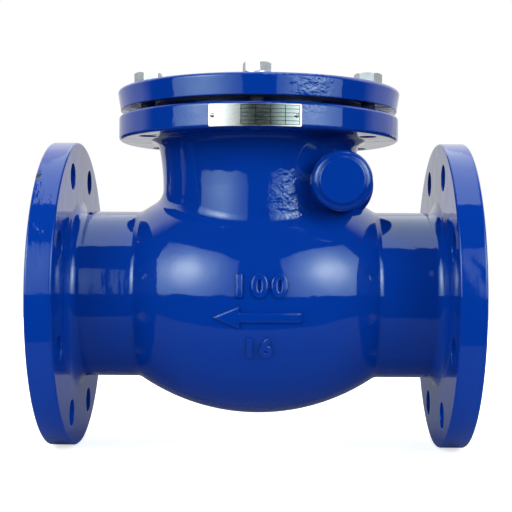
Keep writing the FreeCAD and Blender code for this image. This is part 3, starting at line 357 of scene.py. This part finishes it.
def softbox_glow(graph):
    """Far brighter and whiter in front of the lamp, which is at the panel's own origin."""
    spread = graph.vector("DOT_PRODUCT", graph.place, graph.place)
    tinted = graph.span(spread, SOFTBOX_TINT_FROM, SOFTBOX_TINT_TO, 0.0, 1.0)
    color = graph.blend(tinted, SOFTBOX_NEAR_LAMP, SOFTBOX_AT_EDGE)
    weaker = graph.math("MULTIPLY_ADD", spread, SOFTBOX_SPREAD ** -2, 1)
    return color, graph.math("DIVIDE", SOFTBOX_CORE, weaker)


def add_softbox(name, side, material):
    """An upright softbox in front of the valve, on the side of the outlet (-1) or inlet (1)."""
    facing = math.radians(SOFTBOX_FACING)
    out = Vector((side * math.sin(facing), -math.cos(facing), 0))
    across = Vector((side * math.cos(facing), math.sin(facing), 0))
    inner, outer, lamp = [SOFTBOX_DISTANCE * math.tan(math.radians(edge - SOFTBOX_FACING))
                          for edge in (*SOFTBOX_EDGES[name], SOFTBOX_LAMP)]
    origin = (VALVE_MIDDLE + out * SOFTBOX_DISTANCE + across * lamp
              + UP * SOFTBOX_LAMP_HEIGHT)
    reach = ((inner - lamp, outer - lamp),
             [level - SOFTBOX_LAMP_HEIGHT for level in SOFTBOX_LEVELS])
    add_panel(name + "_softbox", origin, across, UP, reach, material)


def make_lights():
    cloth = lit_material("softbox_cloth", softbox_glow)
    add_softbox("left", -1, cloth)
    add_softbox("right", 1, cloth)
    overhead = lit_material("overhead_cloth", lambda graph: (OVERHEAD_TINT, OVERHEAD_STRENGTH))
    add_panel("overhead_panel", VALVE_MIDDLE + UP * OVERHEAD_LEVEL, Vector((1, 0, 0)),
              Vector((0, 1, 0)), OVERHEAD_REACH, overhead)


def floor_material():
    """White to the camera, with the valve's faint shadow near it, and grey in reflections."""
    material, graph, shader = new_material("table")
    shader.inputs["Roughness"].default_value = 1
    shader.inputs["Specular IOR Level"].default_value = 0
    shader.inputs["Emission Color"].default_value = (1, 1, 1, 1)
    rays = graph.node("LightPath").outputs
    away = graph.vector("DISTANCE", graph.place, (0, 0, 0))
    lift = graph.span(away, SHADOW_NEAR, SHADOW_FAR, SHADOW_LIFT, 1.0)
    tone = graph.blend(rays["Is Glossy Ray"], TABLE_TONE, TABLE_REFLECTED)
    graph.feed(shader.inputs["Base Color"], tone)
    glow = graph.math("MULTIPLY", rays["Is Camera Ray"], lift)
    graph.feed(shader.inputs["Emission Strength"], glow)
    return material


def make_floor():
    """A table that ends in front of the valve."""
    side, front, back = TABLE_HALF_WIDTH, TABLE_FRONT, TABLE_BACK
    corners = [(-side, front, 0), (side, front, 0), (side, back, 0), (-side, back, 0)]
    origin = VALVE_MIDDLE + UP * (CAD_LOW[2] - TABLE_GAP)
    add_sheet("floor", origin, corners, floor_material())


def make_world():
    """White to the camera. Reflections find a pale wall behind the valve and a dark room."""
    world = bpy.data.worlds.new("studio")
    scene.world = world
    graph = Graph(world)
    _, y, z = graph.axes(graph.texture_places["Generated"])
    wall = graph.span(y, *WALL_EDGES, ROOM_STRENGTH, WALL_STRENGTH)
    wall = graph.math("MULTIPLY", wall, graph.span(z, *WALL_TOP_EDGES, 1.0, WALL_TOP_GAIN))
    seen = graph.node("LightPath").outputs["Is Camera Ray"]
    background = graph.tree.nodes["Background"]
    background.inputs["Color"].default_value = (1, 1, 1, 1)
    graph.feed(background.inputs["Strength"], graph.math("MAXIMUM", wall, seen))


def new_material(name):
    material = bpy.data.materials.new(name)
    graph = Graph(material)
    return material, graph, graph.tree.nodes["Principled BSDF"]


def wrinkled(graph):
    """Where the enamel is wrinkled, from 0 to 1."""
    share = 0.0
    for spot, reach in WRINKLED_SPOTS.values():
        away = graph.vector("DISTANCE", graph.place, spot)
        near = graph.span(away, WRINKLED_CORE * reach, reach, 1.0, 0.0)
        share = graph.math("MAXIMUM", near, share)
    return share


def enamel_surface(graph, height, faced, chipped):
    """Rounded edges under paint that is waved all over, and run, peeled or wrinkled in places.

    The cover's rim bulges a little. The faces are grooved, and the chip goes down to the iron.
    """
    place = graph.place
    edges = graph.node("Bevel", Radius=EDGE_RADIUS)
    edges.samples = 6
    above_gasket = graph.math("MAXIMUM", height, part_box("cover_gasket")[1][2])
    crown = graph.math("MULTIPLY", above_gasket, -COVER_CROWN)
    surface = graph.bump(crown, 1.0, under=edges.outputs["Normal"])
    surface = graph.uneven(place, ENAMEL_WAVES, under=surface)
    tall = graph.vector("MULTIPLY", place, DRIP_STRETCH)
    surface = graph.uneven(tall, ENAMEL_DRIPS, graph.patches(ENAMEL_RUN), surface)
    surface = graph.uneven(place, ENAMEL_PEEL, graph.patches(ENAMEL_PEELED), surface)
    surface = graph.uneven(place, ENAMEL_WRINKLES, wrinkled(graph), surface)
    pitch, depth = FACE_GROOVES
    surface = graph.bump(graph.wave(place, "RINGS", "X", pitch), depth, faced, surface)
    return graph.bump(graph.math("SUBTRACT", 1.0, chipped), CHIP_DEPTH, 1.0, surface)


def enamel_material():
    """Thick gloss enamel over a waved casting, and bare turned iron on the two raised faces."""
    material, graph, shader = new_material("blue_enamel")
    x, _, z = graph.axes(graph.place)
    from_middle = graph.math("ABSOLUTE", graph.math("SUBTRACT", x, VALVE_MIDDLE.x))
    half_length = (CAD_HIGH[0] - CAD_LOW[0]) / 2
    faced = graph.math("GREATER_THAN", from_middle, half_length - FACE_SKIN)
    on_top = graph.math("GREATER_THAN", z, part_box("cover")[1][2] - FACE_SKIN)
    from_chip = graph.vector("DISTANCE", graph.place, CHIP_PLACE)
    chipped = graph.span(from_chip, CHIP_FLOOR, CHIP_SIZE, 1.0, 0.0)

    clouds = graph.noise(graph.place, *ENAMEL_CLOUDS)
    enamel = graph.blend(clouds, ENAMEL_DEEP, ENAMEL_THIN)
    enamel = graph.blend(chipped, enamel, CHIP_COLOR)
    graph.feed(shader.inputs["Base Color"], graph.blend(faced, enamel, IRON_BARE))
    rough = graph.patches(ENAMEL_GLOSS)
    for share, dulling in ((chipped, CHIP_DULLING), (on_top, TOP_DULLING), (faced, FACE_DULLING)):
        rough = graph.math("MULTIPLY_ADD", share, dulling, rough)
    graph.feed(shader.inputs["Roughness"], rough)
    graph.feed(shader.inputs["Metallic"], graph.math("MULTIPLY", faced, FACE_METAL))
    shader.inputs["IOR"].default_value = ENAMEL_IOR
    shader.inputs["Specular Tint"].default_value = ENAMEL_SHEEN
    graph.feed(shader.inputs["Normal"], enamel_surface(graph, z, faced, chipped))
    return material


def metal_finish(graph, shader, metal):
    """Bare metal, cloudy between two colours; the colour is also given back."""
    dark, light, rough, spread = metal
    color = graph.blend(graph.patches(METAL_CLOUDS), dark, light)
    graph.feed(shader.inputs["Base Color"], color)
    gloss = graph.patches((*METAL_GLOSS, rough - spread, rough + spread))
    graph.feed(shader.inputs["Roughness"], gloss)
    shader.inputs["Metallic"].default_value = 1
    return color


def plated_material():
    """Bright zinc plating, a little cloudy."""
    material, graph, shader = new_material("zinc")
    metal_finish(graph, shader, ZINC)
    graph.feed(shader.inputs["Normal"], graph.uneven(graph.place, ZINC_GRAIN))
    return material


def bolt_material():
    """Zinc plated heads, and threaded shanks that are darker below the cover's top: painted shade
    where they sit in the cover's holes and the gap under it.
    """
    material, graph, shader = new_material("cover_bolt_zinc")
    plating = metal_finish(graph, shader, ZINC)
    z = graph.axes(graph.place)[2]
    threaded = graph.math("LESS_THAN", z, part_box("cover")[1][2])
    # Painted shade: the shanks are darker below the cover's top, in the cover's holes and the gap
    # under it.
    graph.feed(shader.inputs["Base Color"], graph.blend(threaded, plating, THREAD_PAINTED_SHADE))
    pitch, depth = THREAD
    thread = graph.wave(graph.place, "BANDS", "Z", pitch)
    graph.feed(shader.inputs["Normal"], graph.bump(thread, depth, threaded))
    return material


def ruled_lines(graph, value, count, half_width):
    """Where a value is near a whole number, and where it is in the field, from 0 to count."""
    near = graph.math("LESS_THAN", graph.math("PINGPONG", value, 0.5), half_width)
    from_middle = graph.math("ABSOLUTE", graph.math("SUBTRACT", value, count / 2))
    return near, graph.math("LESS_THAN", from_middle, count / 2 + half_width)


def plate_material():
    """A brushed steel strip round the bonnet flange, with an empty ruled field at its right."""
    material, graph, shader = new_material("nameplate_steel")
    low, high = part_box("nameplate")
    radius = -low[1]
    x, y, z = graph.axes(graph.place)
    toward_front = graph.math("MULTIPLY", y, -1.0)
    turn = graph.math("ARCTAN2", graph.math("SUBTRACT", x, VALVE_MIDDLE.x), toward_front)
    start, end = [math.asin((corner[0] - VALVE_MIDDLE.x) / radius) for corner in (low, high)]
    ends = [start + (end - start) * share for share in (FIELD_START, FIELD_END)]
    levels = [low[2] + (high[2] - low[2]) * share for share in (FIELD_FOOT, FIELD_TOP)]
    columns = graph.span(turn, *ends, 0.0, float(FIELD_COLUMNS), clamp=False)
    rows = graph.span(z, *levels, 0.0, float(FIELD_ROWS), clamp=False)
    upright, in_columns = ruled_lines(graph, columns, FIELD_COLUMNS, FIELD_UPRIGHT)
    level, in_rows = ruled_lines(graph, rows, FIELD_ROWS, FIELD_LEVEL)
    field = graph.math("MULTIPLY", in_columns, in_rows)
    lines = graph.math("MULTIPLY", graph.math("MAXIMUM", upright, level), field)

    drawn_out = graph.vector("MULTIPLY", graph.place, STREAK_STRETCH)
    streaks = graph.noise(drawn_out, *PLATE_STREAKS)
    color = graph.blend(field, graph.blend(streaks, *PLATE_BARE), PLATE_FIELD)
    graph.feed(shader.inputs["Base Color"], graph.blend(lines, color, PLATE_LINE))
    rough = graph.span(streaks, *NOISE_ENDS, *PLATE_ROUGHNESS)
    graph.feed(shader.inputs["Roughness"], rough)
    shader.inputs["Metallic"].default_value = 1
    graph.feed(shader.inputs["Normal"], graph.bump(streaks, PLATE_BRUSHING))
    return material


def turned_material(name, metal, middle, axis, tilt=0.0):
    """Metal turned on a lathe, its grooves round the axis through middle, tilted about Y."""
    material, graph, shader = new_material(name)
    metal_finish(graph, shader, metal)
    from_middle = graph.vector("SUBTRACT", graph.place, middle)
    turn = graph.node("VectorRotate", Vector=from_middle, Angle=-tilt)
    turn.rotation_type = "Y_AXIS"
    pitch, depth = TURNED_GROOVES
    grooves = graph.wave(turn.outputs["Vector"], "RINGS", axis, pitch, TURNED_WOBBLE)
    surface = graph.uneven(graph.place, TURNED_GRAIN, under=graph.bump(grooves, depth))
    graph.feed(shader.inputs["Normal"], surface)
    return material


def iron_material():
    """A rough dark iron casting with a few rusty specks."""
    material, graph, shader = new_material("arm_and_disc_iron")
    clouds = graph.patches(IRON_CLOUDS)
    bare = graph.blend(clouds, *CAST_IRON)
    color = graph.blend(graph.patches(IRON_RUSTED), bare, IRON_RUST)
    graph.feed(shader.inputs["Base Color"], color)
    graph.feed(shader.inputs["Roughness"], graph.span(clouds, 0.0, 1.0, *IRON_ROUGHNESS))
    lumps = graph.uneven(graph.place, IRON_LUMPS)
    graph.feed(shader.inputs["Normal"], graph.uneven(graph.place, IRON_GRAIN, under=lumps))
    return material


def soft_material(name, colors, grain):
    """Dull black rubber or graphite sheet."""
    material, graph, shader = new_material(name)
    clouds = graph.noise(graph.place, *SOFT_CLOUDS)
    graph.feed(shader.inputs["Base Color"], graph.blend(clouds, *colors))
    rough = graph.span(clouds, *NOISE_ENDS, *SOFT_ROUGHNESS)
    graph.feed(shader.inputs["Roughness"], rough)
    graph.feed(shader.inputs["Normal"], graph.uneven(graph.place, grain))
    return material


def dress(names, material):
    """Give the named CAD nodes this material alone."""
    for name in names:
        mesh = NODES[name].data
        mesh.materials.clear()
        mesh.materials.append(material)


def dress_nodes(enamel):
    pin = Vector(JOINTS["arm_swing"]["pos_m"])
    disc = Vector(JOINTS["disc_turn"]["pos_m"])
    disc_axis = Vector(JOINTS["disc_turn"]["axis"])
    tilt = math.atan2(-disc_axis.z, disc_axis.x)
    dress(["valve_body", "cover"], enamel)
    dress(["cover_bolts"], bolt_material())
    dress(["cover_washers", "pin_plug", "nameplate_rivets"], plated_material())
    dress(["nameplate"], plate_material())
    dress(["cover_gasket"], soft_material("graphite", GRAPHITE, GRAPHITE_GRAIN))
    dress(["disc_facing"], soft_material("rubber", RUBBER, RUBBER_GRAIN))
    dress(["body_seat_ring"], turned_material("seat_bronze", BRONZE, disc, "X", tilt))
    dress(["pin_bush_front", "pin_bush_rear", "arm_bush"],
          turned_material("bush_bronze", BRONZE, pin, "Y"))
    dress(["pin_plug_seal"], turned_material("copper", COPPER, pin, "Y"))
    dress(["hinge_pin", "pin_spacer_front", "pin_spacer_rear"],
          turned_material("pin_steel", STEEL, pin, "Y"))
    dress(["facing_retainer", "retainer_screws", "disc_washer", "disc_nut", "disc_split_pin"],
          turned_material("disc_steel", STEEL, disc, "X", tilt))
    dress(["hinge_arm", "disc"], iron_material())


def number_outline(number, height):
    outline = bpy.data.curves.new(number, "FONT")
    outline.body = number
    outline.size = height / DIGIT_HEIGHT_SHARE
    outline.space_character = DIGIT_SPACING
    outline.align_x = "CENTER"
    outline.align_y = "CENTER"
    outline.offset = MARK_BOLDNESS
    return outline


def arrow_outline():
    """An arrow that points along -X, the way the water flows."""
    outline = bpy.data.curves.new("arrow", "CURVE")
    outline.dimensions = "2D"
    outline.fill_mode = "BOTH"
    tip, tail = -ARROW_LENGTH / 2, ARROW_LENGTH / 2
    neck = tip + ARROW_HEAD
    upper = [(neck, ARROW_WIDTH / 2), (neck, ARROW_SHAFT / 2), (tail, ARROW_SHAFT / 2)]
    lower = [(x, -y) for x, y in reversed(upper)]
    corners = [(tip, 0), *upper, *lower]
    line = outline.splines.new("POLY")
    line.points.add(len(corners) - 1)
    for point, (x, y) in zip(line.points, corners):
        point.co = (x, y, 0, 1)
    line.use_cyclic_u = True
    return outline


def split_long_edges(shape, longest):
    """Cut a mesh finely enough to follow a curved surface."""
    long_edges = shape.edges[:]
    while long_edges:
        bmesh.ops.subdivide_edges(shape, edges=long_edges, cuts=1)
        bmesh.ops.triangulate(shape, faces=shape.faces[:])
        long_edges = [edge for edge in shape.edges if edge.calc_length() > longest]


def add_cast_mark(name, outline, middle, surface, material):
    """Lay a flat outline on the bowl's front, a little proud of it, as if cast there."""
    outline.extrude = MARK_HALF_THICKNESS
    outline.bevel_depth = MARK_ROUNDING
    outline.bevel_resolution = 1
    flat = bpy.data.objects.new(name, outline)
    mesh = bpy.data.meshes.new_from_object(flat)
    bpy.data.objects.remove(flat)
    shape = bmesh.new()
    shape.from_mesh(mesh)
    split_long_edges(shape, MARK_STEP)
    for vertex in shape.verts:
        across, up, proud = vertex.co
        before = Vector((middle.x + across, CAD_LOW[1] - MARK_APPROACH, middle.z + up))
        hit = surface.ray_cast(before, Vector((0, 1, 0)))[0]
        vertex.co = hit + Vector((0, hit.y, hit.z)).normalized() * (proud + MARK_RISE)
    shape.to_mesh(mesh)
    shape.free()
    mesh.shade_smooth()
    mesh.set_sharp_from_angle(angle=MARK_CREASE)
    mesh.materials.append(material)
    mark = bpy.data.objects.new(name, mesh)
    scene.collection.objects.link(mark)
    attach(mark, "valve")


def add_cast_marks(material):
    body = NODES["valve_body"].data
    surface = BVHTree.FromPolygons([vertex.co for vertex in body.vertices],
                                   [face.vertices for face in body.polygons])
    add_cast_mark("cast_arrow", arrow_outline(), ARROW_PLACE, surface, material)
    add_cast_mark("cast_size", number_outline("100", SIZE_HEIGHT), SIZE_PLACE, surface, material)
    add_cast_mark("cast_rating", number_outline("16", RATING_HEIGHT), RATING_PLACE, surface,
                  material)


make_camera()
make_floor()
make_world()
make_lights()
enamel = enamel_material()
dress_nodes(enamel)
add_cast_marks(enamel)

scene.view_settings.view_transform = "Standard"
